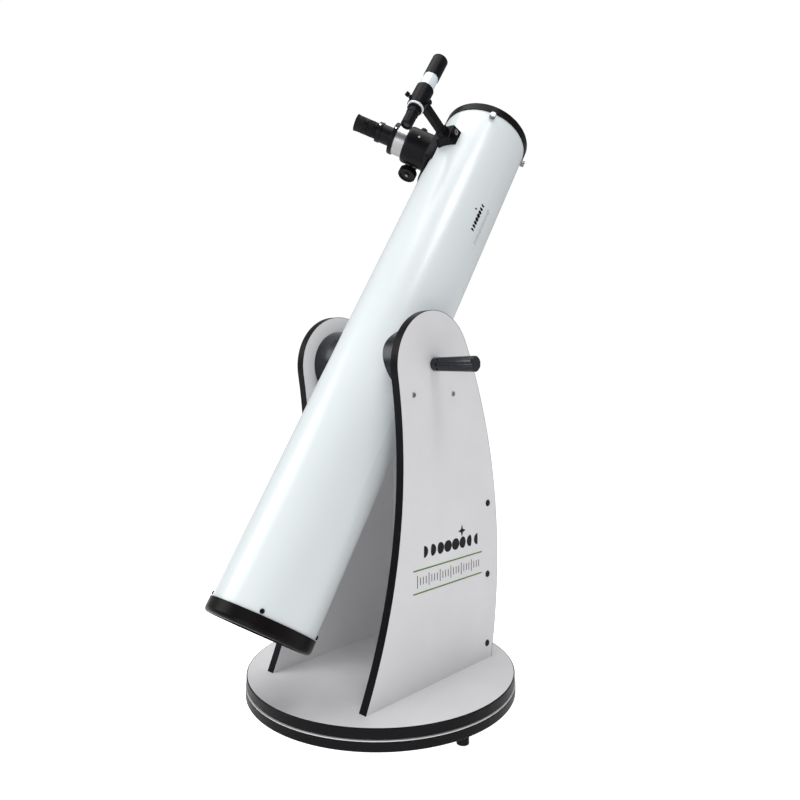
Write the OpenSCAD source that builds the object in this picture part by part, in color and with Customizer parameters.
// Tabletop-free Dobsonian reflector: a Newtonian tube on a rocker box.
// Frame: +Z up, the azimuth axis is Z, the altitude axis is parallel to X,
// the tube points towards +Y, and the feet stand on z = 0.

/* [Optical tube] */
// Outer diameter of the main tube
tube_d = 182; // [170:1:190]
// Wall of the main tube
tube_wall = 1; // [0.8:0.1:1.5]
// Distance from the altitude axis to the rear end of the tube
tube_rear = 505; // [480:1:510]
// Distance from the altitude axis to the front end of the tube
tube_front = 592; // [585:1:700]
// Elevation of the tube above the horizon
altitude = 56.7; // [0:0.1:90]
// Focal length of the primary mirror
focal_length = 1200; // [1100:10:1400]
// Diameter of the primary mirror
mirror_d = 153; // [140:1:154]

/* [Rocker box] */
// Height of the altitude axis above the floor
axis_h = 629; // [620:1:640]
// Clear width between the side boards
box_w = 230; // [228:1:234]
// Thickness of the side boards and the front panel
board_t = 16; // [14:1:18]
// Radius of the curved front and rear edges of the side boards
edge_arc_r = 921; // [900:1:940]
// Radius of the rounded top of the side boards
side_top_r = 97; // [94:1:100]
// Height of the front panel's top edge above the floor
panel_top = 440; // [400:1:480]

/* [Base] */
// Outer diameter of the ground board
ground_d = 506; // [490:1:520]
// Outer diameter of the azimuth board
azimuth_d = 503; // [490:1:520]
// Thickness of both round boards
disc_t = 18; // [16:1:20]
// Height of the feet
foot_h = 22.5; // [15:0.5:26]
// Radius of one foot
foot_r = 10.5; // [9:0.5:12]
// Diameter of the circle that the feet stand on
foot_circle = 456; // [400:1:460]
// Turn of the feet about the azimuth axis
foot_turn = -9; // [-60:1:60]

/* [Focuser] */
// Angle of the focuser around the tube, from its top towards +X
focuser_turn = -43.5; // [-50:0.5:-35]
// Distance of the focuser from the altitude axis, along the tube
focuser_s = 495.5; // [490:0.5:500]
// Outer radius of the drawtube
draw_r = 30.8; // [30:0.1:31]
// Radius of the focus knobs
knob_r = 19.5; // [16:0.5:20]

/* [Finder] */
// Angle of the finder around the tube, from its top towards +X
finder_turn = 3; // [0:0.5:6]
// Distance of the finder's axis from the tube's axis
finder_rho = 202; // [195:1:205]
// Radius of the finder's tube
finder_r = 15; // [14.5:0.1:15]

/* [Altitude bearings] */
// Radius of the altitude hubs
hub_r = 65.5; // [60:0.5:68]
// Radius of the nylon bearing pads
pad_r = 9.2; // [8:0.1:10]
// Length of the tension handles
handle_l = 91.5; // [80:0.5:100]

/* [Hidden] */

$fn = 96;
eps = 0.01;
// Gap between pieces that are fastened together
fit = 0.05;
// Radial gap between pieces that turn or slide on each other
run = 0.08;
// Gap between the faces of pieces that move past each other
gap = 0.3;

white_laminate = [0.88, 0.88, 0.9];
tube_white = [0.93, 0.95, 0.95];
black = [0.09, 0.09, 0.1];
rubber = [0.05, 0.05, 0.05];
steel = [0.68, 0.69, 0.7];
alloy = [0.78, 0.78, 0.77];
nylon = [0.93, 0.92, 0.88];
glass = [0.7, 0.82, 0.86];

// Heights of the two round boards
disc_gap = 1.5;
ground_z = foot_h;
azimuth_z = ground_z + disc_t + disc_gap;
floor_z = azimuth_z + disc_t;

// Edge banding: a T section, whose tongue sits in a groove
band_t = 2;
side_band_t = 0.8;
tongue_l = 6;
tongue_t = 1.6;

// Top laminate of the ground board, which covers its banding
lip_t = 1.2;

// Outline of the side boards, as (y, z)
top_y = 3;
top_z = axis_h - 2;
waist_z = axis_h - 174;
bulge_z = axis_h - 382;
waist_y = top_y - sqrt(pow(edge_arc_r + side_top_r, 2) - pow(top_z - waist_z, 2));
bulge_y = top_y - sqrt(pow(edge_arc_r - side_top_r, 2) - pow(top_z - bulge_z, 2));
waist_dir = [waist_y - top_y, waist_z - top_z] / (edge_arc_r + side_top_r);
bulge_dir = [top_y - bulge_y, top_z - bulge_z] / (edge_arc_r - side_top_r);

inner_x = box_w / 2;
outer_x = inner_x + board_t;

// Bearing pads under the hubs
pad_turn = 45;
pad_l = 17;
pad_dist = hub_r + pad_r + gap;
pad_screw_r = 2.4;

// Front panel and its screws
panel_y = 160;
panel_screw_z = [89.5, 225, 363];
base_screw_y = [-120, 0, 120];
screw_r = 3.5;
cap_r = 6.5;

// Azimuth pivot
bolt_r = 5;
bush_r = 8;
glide_r = 15;
glide_circle = 400;

// Tube and its end rings
tube_r = tube_d / 2;
bore_r = tube_r - tube_wall;
rear_band = tube_rear - 10;
rear_end = tube_rear + 15;
front_band = tube_front - 14;
front_end = tube_front + 5;
mouth_r = bore_r - 2;
screw_turn = 46;
rear_screw_s = tube_rear - 15.6;
spider_s = tube_front - 23.5;

// Mirror cell, as distances behind the altitude axis
web_s = tube_rear + 1;
web_t = 4;
plate_s = tube_rear - 15;
plate_t = 4;
mirror_t = 22;
mirror_s = plate_s - plate_t - 0.5;
cell_r = 60;
cell_turn = 90;
cell_screw_r = 2;

// Altitude hubs
hub_face = inner_x - 0.5;
hub_wall = 6;
stud_r = 5;

// Focuser, as distances from the tube's axis
base_top = 97.5;
body_top = 150.5;
draw_top = 173;
collar_top = 182.5;
adapter_top = 216.3;
eyepiece_top = 266;
shaft_rho = 124;
shaft_r = 3;
flat_x = 30;
roller_r = 5.9;
roller_l = 16;
shaft_x = flat_x + roller_r + run;
knob_inner = 35.6;
knob_outer = 48.1;
lock_rho = 143.2;
barrel_r = 15.87;

// Finder, as distances in front of the altitude axis
shoe_s = 493.5;
shoe_l = 34;
shoe_top = 110;
finder_rear = 458.5;
finder_front = 552.5;
hood_rear = 544.3;
hood_front = 595;
ring_rear = 463;
ring_front = 511.2;
finder_screw_s = 473;
finder_screw_turn = -20;
ring_r = 18.2;

// Point of the tube's frame: Z runs along the tube, -Y is its upper side
module tube_frame() {
    translate([0, 0, axis_h]) rotate([altitude - 90, 0, 0]) children();
}

// Frame on the tube: +Z points away from its axis, +Y towards its front
module radial(turn, s) {
    rotate([0, 0, turn]) translate([0, 0, s]) rotate([90, 0, 0]) children();
}

// Four screw places around the tube
module around_tube(s) {
    for (i = [0:3]) radial(screw_turn + 90 * i, s) children();
}

// Three places around the mirror cell
module around_cell(turn) {
    for (i = [0:2]) rotate([0, 0, cell_turn + turn + 120 * i]) translate([cell_r, 0, 0]) children();
}

// Extrudes a (y, z) outline from x to x + t
module board(x, t) {
    translate([x, 0, 0]) rotate([90, 0, 90]) linear_extrude(t) children();
}

// Cylinder along X from x1 to x2
module rod_x(x1, x2, r) {
    translate([x1, 0, 0]) rotate([0, 90, 0]) cylinder(r = r, h = x2 - x1);
}

// Both sides of the rocker box
module both_sides() {
    children();
    mirror([1, 0, 0]) children();
}

// Tube with a wall
module pipe(r1, r2, h) {
    difference() {
        cylinder(r = r1, h = h);
        translate([0, 0, -1]) cylinder(r = r2, h = h + 2);
    }
}

// Rectangle with round corners
module round_rect(w, l, r) {
    square([w - 2 * r, l], center = true);
    square([w, l - 2 * r], center = true);
    for (x = [-1, 1], y = [-1, 1]) translate([x * (w / 2 - r), y * (l / 2 - r)]) circle(r);
}

// Ridged knob or screw head
module ridged(r, h, ridges, depth) {
    difference() {
        cylinder(r = r, h = h);
        for (i = [0:ridges - 1]) rotate([0, 0, 360 / ridges * i])
            translate([r + depth, 0, -1]) cylinder(r = 2 * depth, h = h + 2, $fn = 24);
    }
}

// Thumbscrew: head away from the origin, tip at z = 0
module thumbscrew(shank_r, shank_l, head_r, head_l) {
    cylinder(r = shank_r, h = shank_l + eps);
    translate([0, 0, shank_l]) ridged(head_r, head_l, 12, head_r / 14);
}

// Pan-head screw: tip at z = 0, head above the shank
module pan_screw(shank_r, shank_l, head_r, head_l) {
    cylinder(r = shank_r, h = shank_l + eps);
    translate([0, 0, shank_l]) difference() {
        cylinder(r1 = head_r, r2 = head_r * 0.75, h = head_l);
        translate([0, 0, head_l / 2]) cylinder(r = shank_r * 0.8, h = head_l, $fn = 6);
    }
}

// Edge banding of a round board, h high, with its tongue
module disc_edging(d, h) {
    rotate_extrude($fn = 180) polygon([
        [d / 2 - band_t, 0], [d / 2 - 0.8, 0], [d / 2, 1.2], [d / 2, h - 1.2],
        [d / 2 - 0.8, h], [d / 2 - band_t, h],
        [d / 2 - band_t, (disc_t + tongue_t) / 2],
        [d / 2 - band_t - tongue_l, (disc_t + tongue_t) / 2],
        [d / 2 - band_t - tongue_l, (disc_t - tongue_t) / 2],
        [d / 2 - band_t, (disc_t - tongue_t) / 2]
    ]);
}

// Round board with the groove for its edge banding
module disc(d) {
    core_r = d / 2 - band_t - fit;
    difference() {
        cylinder(r = core_r, h = disc_t, $fn = 180);
        translate([0, 0, disc_t / 2 - tongue_t / 2 - fit]) difference() {
            cylinder(r = core_r + 1, h = tongue_t + 2 * fit, $fn = 180);
            cylinder(r = core_r - tongue_l - fit, h = disc_t, $fn = 180);
        }
    }
}

// Three feet places on the floor
module foot_places() {
    for (i = [0:2]) rotate([0, 0, foot_turn + 120 * i]) translate([foot_circle / 2, 0, 0]) children();
}

module ground_board() color(white_laminate) difference() {
    union() {
        translate([0, 0, ground_z]) disc(ground_d);
        translate([0, 0, ground_z + disc_t - lip_t]) cylinder(r = ground_d / 2 - 0.4, h = lip_t, $fn = 180);
    }
    translate([0, 0, ground_z - 1]) cylinder(r = bolt_r + run, h = disc_t + 2);
    foot_places() translate([0, 0, ground_z - 1]) cylinder(r = 2 + fit, h = 15);
}

module ground_edging() color(black) translate([0, 0, ground_z]) disc_edging(ground_d, disc_t - lip_t - fit);

module glide_pads() color(nylon) for (i = [0:2]) rotate([0, 0, foot_turn + 120 * i])
    translate([glide_circle / 2, 0, ground_z + disc_t + fit]) cylinder(r = glide_r, h = disc_gap - gap);

module feet() color(black) foot_places() difference() {
    cylinder(r = foot_r, h = foot_h);
    translate([0, 0, 12.5]) cylinder(r = 2 + fit, h = foot_h);
}

// Studs that are moulded into the feet and screwed into the ground board
module foot_screws() color(steel) foot_places() translate([0, 0, 12.5 + fit])
    cylinder(r = 2, h = foot_h + 0.5);

module pivot_bolt() color(steel) {
    translate([0, 0, ground_z - 6.4]) cylinder(r = 9.8, h = 6.4, $fn = 6);
    translate([0, 0, ground_z - eps]) cylinder(r = bolt_r, h = 53);
}

module pivot_bush() color(nylon) difference() {
    union() {
        translate([0, 0, azimuth_z + 0.5]) cylinder(r = bush_r, h = disc_t);
        translate([0, 0, floor_z + fit]) cylinder(r = 14, h = 2);
    }
    translate([0, 0, azimuth_z]) cylinder(r = bolt_r + run, h = disc_t + 5);
}

module pivot_nut() color(steel) translate([0, 0, floor_z + 2 + fit + gap]) difference() {
    union() {
        cylinder(r = 12, h = 2);
        translate([0, 0, 2 - eps]) cylinder(r = 9.8, h = 9, $fn = 6);
    }
    translate([0, 0, -1]) cylinder(r = bolt_r + 0.02, h = 15);
}

module azimuth_board() color(white_laminate) difference() {
    translate([0, 0, azimuth_z]) disc(azimuth_d);
    translate([0, 0, azimuth_z - 1]) cylinder(r = bush_r + fit, h = disc_t + 2);
    base_screw_places() translate([0, 0, azimuth_z - 1]) cylinder(r = screw_r + fit, h = disc_t + 2);
    base_screw_places() translate([0, 0, azimuth_z - 1]) cylinder(r = cap_r + fit, h = 4 + fit);
}

module azimuth_edging() color(black) translate([0, 0, azimuth_z]) disc_edging(azimuth_d, disc_t);

// Screw places under the side boards
module base_screw_places() {
    for (x = [-1, 1], y = base_screw_y) translate([x * (inner_x + board_t / 2), y, 0]) children();
}

// Screw places through the side boards into the front panel
module panel_screw_places() {
    both_sides() for (z = panel_screw_z) translate([0, panel_y, z]) children();
}

// Side board outline above the height low, drawn in by the given inset on its banded edges
module side_outline(inset, low) {
    translate([top_y, top_z]) circle(r = side_top_r - inset, $fn = 180);
    difference() {
        intersection() {
            translate([bulge_y, bulge_z]) circle(r = edge_arc_r - inset, $fn = 360);
            polygon([
                [-260, low], [260, low],
                [top_y, top_z] + 300 * bulge_dir,
                [top_y, top_z],
                [top_y, top_z] + 300 * waist_dir
            ]);
        }
        translate([waist_y, waist_z]) circle(r = edge_arc_r + inset, $fn = 360);
    }
}

// Ring between two insets of the side board outline
module side_ring(outside, inside) {
    difference() {
        side_outline(outside, floor_z);
        side_outline(inside, floor_z - 10);
    }
}

// Side board on the +X side, with the holes that one side needs
module side_board() {
    difference() {
        board(inner_x, board_t) side_outline(side_band_t + fit, floor_z);
        board(inner_x + board_t / 2 - tongue_t / 2 - fit, tongue_t + 2 * fit)
            side_ring(side_band_t, side_band_t + tongue_l + 2 * fit);
        translate([0, 0, axis_h]) rod_x(inner_x - 1, outer_x + 1, stud_r + 1.5);
        pad_places() rod_x(inner_x - 1, outer_x + 1, pad_screw_r + fit);
        for (z = panel_screw_z) translate([0, panel_y, z]) rod_x(inner_x - 1, outer_x + 1, screw_r + fit);
        base_screw_places() translate([0, 0, floor_z - 1]) cylinder(r = screw_r + fit, h = 33);
    }
}

// Edge banding of the side board on the +X side
module side_edging() {
    board(inner_x, board_t) side_ring(0, side_band_t);
    board(inner_x + board_t / 2 - tongue_t / 2, tongue_t) side_ring(side_band_t / 2, side_band_t + tongue_l);
}

module side_board_right() color(white_laminate) side_board();
module side_board_left() color(white_laminate) mirror([1, 0, 0]) side_board();
module side_edging_right() color(black) side_edging();
module side_edging_left() color(black) mirror([1, 0, 0]) side_edging();

module front_panel() color(white_laminate) difference() {
    translate([-inner_x + fit, panel_y - board_t / 2, floor_z])
        cube([box_w - 2 * fit, board_t, panel_top - floor_z]);
    panel_screw_places() rod_x(inner_x - 36, inner_x + 1, screw_r + fit);
}

module assembly_screws() color(black) {
    panel_screw_places() {
        rod_x(inner_x - 35, outer_x + eps, screw_r);
        translate([outer_x, 0, 0]) rotate([0, 90, 0]) cylinder(r1 = cap_r, r2 = cap_r - 1, h = 1.2);
    }
    base_screw_places() {
        translate([0, 0, azimuth_z + 3]) cylinder(r = screw_r, h = 46);
        translate([0, 0, azimuth_z]) cylinder(r = cap_r, h = 3 + eps);
    }
}

// Bearing pad places on the +X side
module pad_places() {
    for (y = [-1, 1]) translate([0, y * pad_dist * sin(pad_turn), axis_h - pad_dist * cos(pad_turn)])
        children();
}

module bearing_pads() color(nylon) both_sides() pad_places() difference() {
    rod_x(inner_x - pad_l, inner_x, pad_r);
    rod_x(inner_x - pad_l - 1, inner_x + 1, pad_screw_r + fit);
}

module bearing_pad_screws() color(steel) both_sides() pad_places() {
    rod_x(inner_x - pad_l - 3, outer_x + eps, pad_screw_r);
    translate([outer_x, 0, 0]) rotate([0, 90, 0]) difference() {
        cylinder(r1 = 4.6, r2 = 4, h = 1.4);
        translate([0, 0, 0.4]) cylinder(r = 2.1, h = 2, $fn = 6);
    }
    translate([inner_x - pad_l - 3.2, 0, 0]) rotate([0, 90, 0]) cylinder(r = 4.4, h = 3, $fn = 6);
}

// Tension handle on the +X side: a fluted grip on a threaded stud
module tension_handle() {
    grip_x = outer_x + 0.4;
    root_l = 12;
    flutes = 8;
    translate([0, 0, axis_h]) {
        rod_x(tube_r + 4, grip_x + eps, stud_r);
        translate([grip_x, 0, 0]) rotate([0, 90, 0]) difference() {
            union() {
                cylinder(r1 = 11, r2 = 12.2, h = 2);
                translate([0, 0, 2 - eps]) cylinder(r1 = 12.2, r2 = 13.9, h = handle_l - 4);
                translate([0, 0, handle_l - 2 - eps]) cylinder(r1 = 13.9, r2 = 12.4, h = 2);
            }
            for (i = [0:flutes - 1]) rotate([0, 0, 360 / flutes * i])
                translate([13.9, 0, root_l]) rotate([0, 1, 0]) cylinder(r = 3.4, h = handle_l, $fn = 32);
        }
    }
}

module tension_handle_right() color(black) tension_handle();
module tension_handle_left() color(black) mirror([1, 0, 0]) tension_handle();

// Altitude hub on the +X side: a cup that sits on the tube
module altitude_hub() {
    difference() {
        translate([0, 0, axis_h]) {
            difference() {
                rod_x(50, hub_face, hub_r);
                rod_x(49, hub_face - hub_wall, hub_r - hub_wall);
            }
            rod_x(50, hub_face - 1, 15);
        }
        translate([0, 0, axis_h]) rod_x(40, hub_face + 1, stud_r + run);
        tube_frame() translate([0, 0, -200]) cylinder(r = tube_r + fit, h = 400, $fn = 180);
    }
}

module altitude_hub_right() color(black) altitude_hub();
module altitude_hub_left() color(black) mirror([1, 0, 0]) altitude_hub();

module main_tube() color(tube_white) tube_frame() difference() {
    translate([0, 0, -tube_rear]) cylinder(r = tube_r, h = tube_rear + tube_front, $fn = 180);
    translate([0, 0, -tube_rear - 1]) cylinder(r = bore_r, h = tube_rear + tube_front + 2, $fn = 180);
    radial(focuser_turn, focuser_s) cylinder(r = draw_r + 0.7, h = tube_r + 5);
    around_tube(-rear_screw_s) cylinder(r = 2 + fit, h = tube_r + 5);
    around_tube(spider_s) cylinder(r = 2 + fit, h = tube_r + 5);
    focuser_screw_places() cylinder(r = 2 + fit, h = tube_r + 5);
    shoe_screw_places() cylinder(r = 2 + fit, h = tube_r + 5);
}

module front_ring() color(black) tube_frame() difference() {
    rotate_extrude($fn = 180) polygon([
        [mouth_r, front_band], [bore_r - fit, front_band], [bore_r - fit, tube_front + fit],
        [tube_r + fit, tube_front + fit], [tube_r + fit, front_band], [tube_r + 1.9, front_band],
        [tube_r + 1.9, front_end - 2], [tube_r + 0.4, front_end - 0.4], [tube_r - 0.6, front_end],
        [mouth_r, front_end]
    ]);
}

module rear_ring() color(black) tube_frame() difference() {
    union() {
        rotate_extrude($fn = 180) polygon([
            [bore_r - 5, -tube_rear + 23], [bore_r - fit, -tube_rear + 23],
            [bore_r - fit, -tube_rear - fit], [tube_r + fit, -tube_rear - fit],
            [tube_r + fit, -rear_band], [tube_r + 2.4, -rear_band],
            [tube_r + 2.4, -rear_end + 7], [tube_r + 1.4, -rear_end + 3.4],
            [tube_r - 1, -rear_end + 1], [tube_r - 4.6, -rear_end], [tube_r - 8, -rear_end],
            [tube_r - 8, -tube_rear - fit], [bore_r - 5, -tube_rear + 3]
        ]);
        translate([0, 0, -web_s - web_t]) {
            cylinder(r = 22, h = web_t);
            for (i = [0:2]) rotate([0, 0, cell_turn + 120 * i]) {
                translate([0, -11, 0]) cube([tube_r - 6, 22, web_t]);
                translate([cell_r, 0, 0]) cylinder(r = 15, h = web_t);
            }
            for (i = [0:2]) rotate([0, 0, cell_turn + 60 + 120 * i])
                translate([0, -7, 0]) cube([tube_r - 6, 14, web_t]);
        }
    }
    around_cell(0) translate([0, 0, -web_s - web_t - 1]) cylinder(r = cell_screw_r + run, h = web_t + 2);
    around_cell(60) translate([0, 0, -web_s - web_t - 1]) cylinder(r = cell_screw_r + fit, h = web_t + 2);
    around_tube(-rear_screw_s) cylinder(r = 2 + fit, h = tube_r + 5);
}

// Focuser screw places, in the frame of each screw
module focuser_screw_places() {
    for (y = [-60, 56], turn = [-13, 13]) radial(focuser_turn + turn, focuser_s + y) children();
}

// Finder shoe screw places
module shoe_screw_places() {
    for (y = [-1, 1]) radial(finder_turn, shoe_s + y * 11) children();
}

module tube_screws() color(black) tube_frame() {
    around_tube(-rear_screw_s) translate([0, 0, tube_r - 7]) pan_screw(2, 7.1, 4, 2.6);
    focuser_screw_places() translate([0, 0, tube_r - 7]) pan_screw(2, 10.7, 4, 2.2);
    shoe_screw_places() translate([0, 0, tube_r - 7]) pan_screw(2, 14, 4, 2.4);
}

module mirror_plate() color(steel) tube_frame() translate([0, 0, -plate_s]) difference() {
    cylinder(r = 82, h = plate_t);
    translate([0, 0, -1]) cylinder(r = 12, h = plate_t + 2);
    around_cell(0) translate([0, 0, -1]) cylinder(r = cell_screw_r + run, h = plate_t + 2);
    around_cell(60) translate([-24, 0, -1]) cylinder(r = 16, h = plate_t + 2);
}

module primary_mirror() color(glass) tube_frame() translate([0, 0, -mirror_s]) difference() {
    cylinder(r = mirror_d / 2, h = mirror_t);
    translate([0, 0, mirror_t - pow(mirror_d / 2, 2) / (4 * focal_length) + 2 * focal_length])
        sphere(r = 2 * focal_length, $fn = 360);
}

module mirror_clips() color(black) tube_frame() for (i = [0:2])
    rotate([0, 0, cell_turn + 60 + 120 * i]) difference() {
        translate([70, -8, -plate_s + plate_t + fit]) cube([12, 16, mirror_t + 4]);
        translate([0, 0, -mirror_s - 5]) cylinder(r = mirror_d / 2 + run, h = mirror_t + 5 + fit);
    }

// Coil spring: a ring sector, twisted along its height
module coil(r, wire_r, h, turns) {
    sector = [0:40:120];
    linear_extrude(h, twist = -360 * turns, slices = 10 * turns, $fn = 3) polygon(concat(
        [for (a = sector) (r + wire_r) * [cos(a), sin(a)]],
        [for (a = sector) (r - wire_r) * [cos(120 - a), sin(120 - a)]]
    ));
}

module collimation_springs() color(steel) tube_frame() around_cell(0)
    translate([0, 0, -web_s + run]) coil(4.6, 0.7, web_s - plate_s - 2 * run, 4);

module mirror_lock_screws() color(steel) tube_frame() around_cell(60)
    translate([0, 0, -plate_s - fit]) mirror([0, 0, 1])
        pan_screw(cell_screw_r, web_s - plate_s + web_t, 4, 3);

// Collimation screw with its thumb knob
module collimation_knob(i) {
    tube_frame() rotate([0, 0, cell_turn + 120 * i]) translate([cell_r, 0, 0]) {
        translate([0, 0, -web_s - web_t - gap - 8.5]) ridged(9, 8.5, 14, 0.7);
        translate([0, 0, -web_s - web_t - gap - eps])
            cylinder(r = cell_screw_r, h = web_s - plate_s + web_t + plate_t + gap);
    }
}

module collimation_knob_1() color(black) collimation_knob(0);
module collimation_knob_2() color(black) collimation_knob(1);
module collimation_knob_3() color(black) collimation_knob(2);

module spider() color(black) tube_frame() difference() {
    union() {
        translate([0, 0, spider_s - 14]) cylinder(r = 13, h = 18);
        around_tube(spider_s) {
            translate([-0.5, -12, 12]) cube([1, 16, bore_r - 13]);
            translate([-4, -9, bore_r - 2]) cube([8, 18, 1.5]);
            translate([0, 0, bore_r - 2]) cylinder(r = 2, h = 10);
        }
    }
    translate([0, 0, spider_s - 15]) cylinder(r = 2.5 + fit, h = 20);
    secondary_set_places() translate([0, 0, spider_s - 15]) cylinder(r = 1.5 + fit, h = 20);
}

module spider_nuts() color(steel) tube_frame() around_tube(spider_s) difference() {
    translate([0, 0, tube_r + fit]) ridged(6.3, 8.5, 20, 0.35);
    cylinder(r = 2 + 0.02, h = tube_r + 7.4);
}

// Three set screws around the secondary's centre bolt
module secondary_set_places() {
    for (i = [0:2]) rotate([0, 0, 120 * i + 30]) translate([8, 0, 0]) children();
}

// Frame of the secondary mirror: its face is z = 0 and looks towards -Z
module secondary_face() {
    rotate([0, 0, focuser_turn]) translate([0, 0, focuser_s]) rotate([-45, 0, 0]) children();
}

module secondary_mirror() color(glass) tube_frame() intersection() {
    translate([0, 0, focuser_s - 40]) cylinder(r = 20, h = 80);
    secondary_face() translate([-40, -40, 0]) cube([80, 80, 6]);
}

module secondary_holder() color(black) tube_frame() difference() {
    translate([0, 0, focuser_s - 20]) cylinder(r = 19, h = 70);
    secondary_face() translate([-60, -60, -150]) cube([120, 120, 156.2]);
    translate([0, 0, focuser_s + 35]) cylinder(r = 2.5 + fit, h = 20);
}

module secondary_screws() color(steel) tube_frame() {
    translate([0, 0, focuser_s + 36]) cylinder(r = 2.5, h = spider_s + 5 - focuser_s - 36);
    translate([0, 0, spider_s + 4 + fit]) cylinder(r = 5, h = 3.5);
    secondary_set_places() translate([0, 0, focuser_s + 50 + fit])
        pan_screw(1.5, spider_s + 4.2 - focuser_s - 50, 2.6, 2);
}

module focuser_base() color(black) tube_frame() difference() {
    union() {
        radial(focuser_turn, focuser_s) translate([0, 0, 78]) linear_extrude(base_top - 78) round_rect(86, 87, 3);
        intersection() {
            radial(focuser_turn, focuser_s) translate([0, -2, 70])
                linear_extrude(40) round_rect(62, 137, 14);
            translate([0, 0, focuser_s - 100]) cylinder(r = tube_r + 3.6, h = 200, $fn = 180);
        }
    }
    translate([0, 0, focuser_s - 100]) cylinder(r = tube_r + fit, h = 200, $fn = 180);
    radial(focuser_turn, focuser_s) cylinder(r = draw_r + 0.5, h = base_top + 5);
    focuser_screw_places() cylinder(r = 2 + fit, h = tube_r + 9);
}

module focuser_body() color(black) tube_frame() radial(focuser_turn, focuser_s) difference() {
    union() {
        rotate_extrude() polygon([
            [0, base_top + fit], [39.6, base_top + fit], [39.6, base_top + 2.5], [38.8, base_top + 3.5],
            [38.8, body_top - 7], [38, body_top - 3.4], [36.4, body_top - 1], [34.6, body_top], [0, body_top]
        ]);
        translate([-47, -24, shaft_rho - 12]) cube([26, 48, 25]);
    }
    translate([0, 0, base_top - 1]) cylinder(r = draw_r + run, h = body_top);
    translate([-shaft_x, 0, shaft_rho]) rotate([90, 0, 0]) translate([0, 0, -60]) cylinder(r = shaft_r + run, h = 120);
    translate([-shaft_x, 0, shaft_rho]) rotate([90, 0, 0]) translate([0, 0, -roller_l / 2 - gap])
        cylinder(r = roller_r + gap, h = roller_l + 2 * gap);
    translate([0, 0, lock_rho]) rotate([-90, 0, 0]) cylinder(r = 2 + run, h = 50);
}

module drawtube() color(alloy) tube_frame() radial(focuser_turn, focuser_s) difference() {
    translate([0, 0, tube_r + 2]) cylinder(r = draw_r, h = draw_top - tube_r - 2);
    translate([0, 0, tube_r]) cylinder(r = 25.5, h = 100);
    translate([-flat_x - 20, -40, tube_r]) cube([20, 80, 72]);
}

module eyepiece_adapter() color(black) tube_frame() radial(focuser_turn, focuser_s) difference() {
    union() {
        translate([0, 0, draw_top - 22]) cylinder(r = 25.4, h = 24);
        rotate_extrude() polygon([
            [0, draw_top + fit], [33.4, draw_top + fit], [33.4, collar_top - 1.6], [31.6, collar_top],
            [19.6, collar_top], [19.6, adapter_top - 10], [21.2, adapter_top - 9],
            [21.2, adapter_top - 0.6], [20.6, adapter_top], [0, adapter_top]
        ]);
    }
    translate([0, 0, draw_top - 30]) cylinder(r = barrel_r + run, h = 80);
    translate([0, 25.5, draw_top + 4.5]) rotate([-90, 0, 0]) cylinder(r = 1.5 + run, h = 10);
    translate([0, 10, adapter_top - 5]) rotate([-90, 0, 0]) cylinder(r = 1.5 + run, h = 15);
}

module adapter_thumbscrew() color(black) tube_frame() radial(focuser_turn, focuser_s)
    translate([0, 26, draw_top + 4.5]) rotate([-90, 0, 0]) thumbscrew(1.5, 7.8, 4, 7);

module eyepiece_thumbscrew() color(steel) tube_frame() radial(focuser_turn, focuser_s)
    translate([0, barrel_r + gap, adapter_top - 5]) rotate([-90, 0, 0]) thumbscrew(1.5, 5.4, 2.8, 5.5);

module eyepiece() color(black) tube_frame() radial(focuser_turn, focuser_s) difference() {
    union() {
        translate([0, 0, adapter_top - 28]) cylinder(r = barrel_r, h = 30);
        translate([0, 0, adapter_top + gap]) cylinder(r1 = 16.4, r2 = 17.2, h = 4);
        translate([0, 0, adapter_top + 4 + gap - eps]) cylinder(r = 17.2, h = 26.7);
        translate([0, 0, adapter_top + 29]) cylinder(r = 15, h = 14);
    }
    translate([0, 0, adapter_top - 29]) cylinder(r = 13.5, h = 55);
    translate([0, 0, adapter_top + 20]) cylinder(r = 11, h = 30);
}

module eyecup() color(rubber) tube_frame() radial(focuser_turn, focuser_s) difference() {
    union() {
        translate([0, 0, adapter_top + 31 + fit]) cylinder(r = 17.2, h = 8);
        translate([0, 0, adapter_top + 39]) cylinder(r1 = 17.2, r2 = 18.4, h = eyepiece_top - adapter_top - 39);
    }
    translate([0, 0, adapter_top + 30]) cylinder(r = 15 + fit, h = 13 + fit);
    translate([0, 0, adapter_top + 40]) cylinder(r1 = 11.5, r2 = 14.5, h = 12);
}

module eyepiece_lens() color(glass) tube_frame() radial(focuser_turn, focuser_s)
    translate([0, 0, adapter_top + 36]) cylinder(r = 11 - fit, h = 4);

module focus_shaft() color(steel) tube_frame() radial(focuser_turn, focuser_s)
    translate([-shaft_x, 0, shaft_rho]) rotate([90, 0, 0]) {
        translate([0, 0, -knob_outer + 2]) cylinder(r = shaft_r, h = 2 * knob_outer - 4);
        translate([0, 0, -roller_l / 2]) cylinder(r = roller_r, h = roller_l);
    }

module focus_knobs() color(black) tube_frame() radial(focuser_turn, focuser_s)
    translate([-shaft_x, 0, shaft_rho]) rotate([90, 0, 0]) for (side = [0, 1]) mirror([0, 0, side])
        translate([0, 0, knob_inner]) difference() {
            ridged(knob_r, knob_outer - knob_inner, 24, 0.7);
            translate([0, 0, -1]) cylinder(r = shaft_r + 0.02, h = knob_outer - knob_inner - 1);
            translate([0, 0, knob_outer - knob_inner - 1.5]) pipe(15, 6, 3);
        }

module focus_lock_screw() color(black) tube_frame() radial(focuser_turn, focuser_s)
    translate([0, draw_r + gap, lock_rho]) rotate([-90, 0, 0]) thumbscrew(2, 8.4, 6.8, 6.5);

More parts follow.
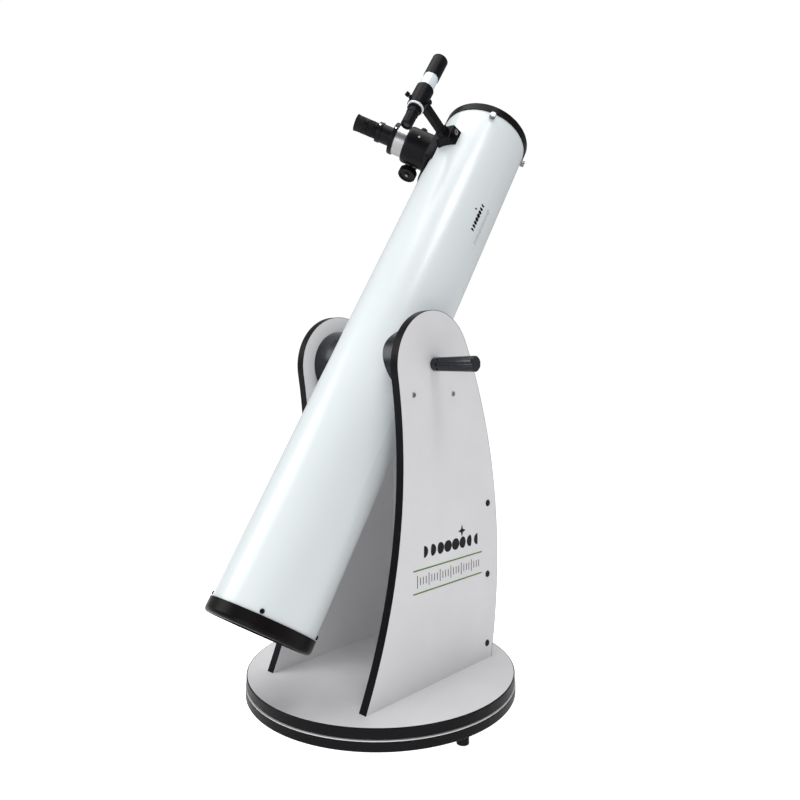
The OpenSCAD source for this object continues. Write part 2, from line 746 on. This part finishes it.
module finder_shoe() color(black) tube_frame() difference() {
    radial(finder_turn, shoe_s) translate([0, shoe_l / 2, 0]) rotate([90, 0, 0]) linear_extrude(shoe_l) polygon([
        [-21.8, 80], [21.8, 80], [21.3, 90], [16.4, shoe_top - 1], [15.4, shoe_top], [10.5, shoe_top],
        [13.5, shoe_top - 8], [-13.5, shoe_top - 8], [-10.5, shoe_top], [-15.4, shoe_top],
        [-16.4, shoe_top - 1], [-21.3, 90]
    ]);
    translate([0, 0, shoe_s - 30]) cylinder(r = tube_r + fit, h = 60, $fn = 180);
    shoe_screw_places() cylinder(r = 2 + fit, h = shoe_top);
    shoe_screw_places() translate([0, 0, tube_r + 6.9]) cylinder(r = 4.3, h = 20);
    radial(finder_turn, shoe_s) translate([8, 0, shoe_top - 5]) rotate([0, 90, 0]) cylinder(r = 2 + run, h = 20);
}

module shoe_thumbscrew() color(black) tube_frame() radial(finder_turn, shoe_s)
    translate([12.6, 0, shoe_top - 5]) rotate([0, 90, 0]) {
        cylinder(r = 2, h = 8);
        translate([0, 0, 7.3]) ridged(8.5, 6, 20, 0.6);
    }

// Frame of the finder: Z runs along its axis, -Y points away from the tube
module finder_frame() {
    rotate([0, 0, finder_turn]) translate([0, -finder_rho, 0]) children();
}

module finder_bracket() color(black) tube_frame() difference() {
    union() {
        radial(finder_turn, shoe_s) {
            translate([0, shoe_l / 2, 0]) rotate([90, 0, 0]) linear_extrude(shoe_l) polygon([
                [-12.9, shoe_top - 7.7], [12.9, shoe_top - 7.7], [10.1, shoe_top - 0.4],
                [10.1, shoe_top + 0.6], [-10.1, shoe_top + 0.6], [-10.1, shoe_top - 0.4]
            ]);
            rotate([90, 0, 90]) translate([0, 0, -7.5]) linear_extrude(15) polygon([
                [-16, shoe_top], [8, shoe_top], [4.8, shoe_top + 14], [-15.5, shoe_top + 14]
            ]);
            rotate([90, 0, 90]) translate([0, 0, -6]) linear_extrude(12) polygon([
                [-14, shoe_top + 1], [3, shoe_top + 1], [0.5, finder_rho - 12], [-17.5, finder_rho - 12]
            ]);
        }
        finder_frame() translate([0, 0, ring_rear]) cylinder(r = ring_r, h = ring_front - ring_rear);
        finder_frame() finder_bosses() cylinder(r = 4, h = ring_r + 2.5);
    }
    finder_frame() translate([0, 0, ring_rear - 1]) cylinder(r = finder_r + 1.3, h = 60);
    finder_frame() finder_bosses() cylinder(r = 2 + run, h = ring_r + 5);
}

// Bosses of the two adjusting screws and the spring plunger
module finder_bosses() {
    for (i = [0:2]) radial(finder_screw_turn + 120 * i, finder_screw_s) children();
}

module finder_tube() color(tube_white) tube_frame() finder_frame() difference() {
    union() {
        translate([0, 0, finder_rear]) cylinder(r = finder_r, h = finder_front - finder_rear);
        translate([0, 0, finder_rear]) cylinder(r = 16.8, h = 4);
    }
    translate([0, 0, finder_rear - 1]) cylinder(r = 13, h = 120);
}

module finder_dew_shield() color(black) tube_frame() finder_frame() difference() {
    translate([0, 0, hood_rear]) cylinder(r = 16.2, h = hood_front - hood_rear);
    translate([0, 0, hood_rear - 1]) cylinder(r = finder_r + fit, h = finder_front - hood_rear + 1 + fit);
    translate([0, 0, finder_front - 1]) cylinder(r = 14.4, h = 60);
}

module finder_eyepiece() color(black) tube_frame() finder_frame() difference() {
    union() {
        translate([0, 0, finder_rear - 1]) cylinder(r = 12.9, h = 15);
        translate([0, 0, finder_rear - 4]) cylinder(r = 14.5, h = 4 - fit);
        translate([0, 0, finder_rear - 16]) cylinder(r = 12.2, h = 13);
        translate([0, 0, 413.5]) cylinder(r = 11.4, h = finder_rear - 425);
        translate([0, 0, 412]) cylinder(r1 = 10, r2 = 11.4, h = 1.5 + eps);
    }
    translate([0, 0, 411]) cylinder(r = 7.5, h = 80);
}

// Adjusting screw of the finder, in the place of boss i
module finder_screw(i) {
    tube_frame() finder_frame() radial(finder_screw_turn + 120 * i, finder_screw_s)
        translate([0, 0, finder_r + gap]) thumbscrew(2, 7.2, 4.6, 7);
}

module finder_screw_1() color(black) finder_screw(0);
module finder_screw_2() color(black) finder_screw(1);

module finder_plunger() color(steel) tube_frame() finder_frame()
    radial(finder_screw_turn + 240, finder_screw_s) translate([0, 0, finder_r + run]) {
        cylinder(r = 2, h = 8);
        translate([0, 0, 7.4]) cylinder(r = 3.6, h = 3);
    }

ground_board();
ground_edging();
glide_pads();
feet();
foot_screws();
pivot_bolt();
pivot_bush();
pivot_nut();
azimuth_board();
azimuth_edging();
side_board_right();
side_board_left();
side_edging_right();
side_edging_left();
front_panel();
assembly_screws();
bearing_pads();
bearing_pad_screws();
tension_handle_right();
tension_handle_left();
main_tube();
front_ring();
rear_ring();
tube_screws();
altitude_hub_right();
altitude_hub_left();
mirror_plate();
primary_mirror();
mirror_clips();
collimation_springs();
mirror_lock_screws();
collimation_knob_1();
collimation_knob_2();
collimation_knob_3();
spider();
spider_nuts();
secondary_holder();
secondary_mirror();
secondary_screws();
focuser_base();
focuser_body();
drawtube();
eyepiece_adapter();
adapter_thumbscrew();
focus_shaft();
focus_knobs();
focus_lock_screw();
eyepiece();
eyecup();
eyepiece_lens();
eyepiece_thumbscrew();
finder_shoe();
shoe_thumbscrew();
finder_bracket();
finder_tube();
finder_dew_shield();
finder_eyepiece();
finder_screw_1();
finder_screw_2();
finder_plunger();
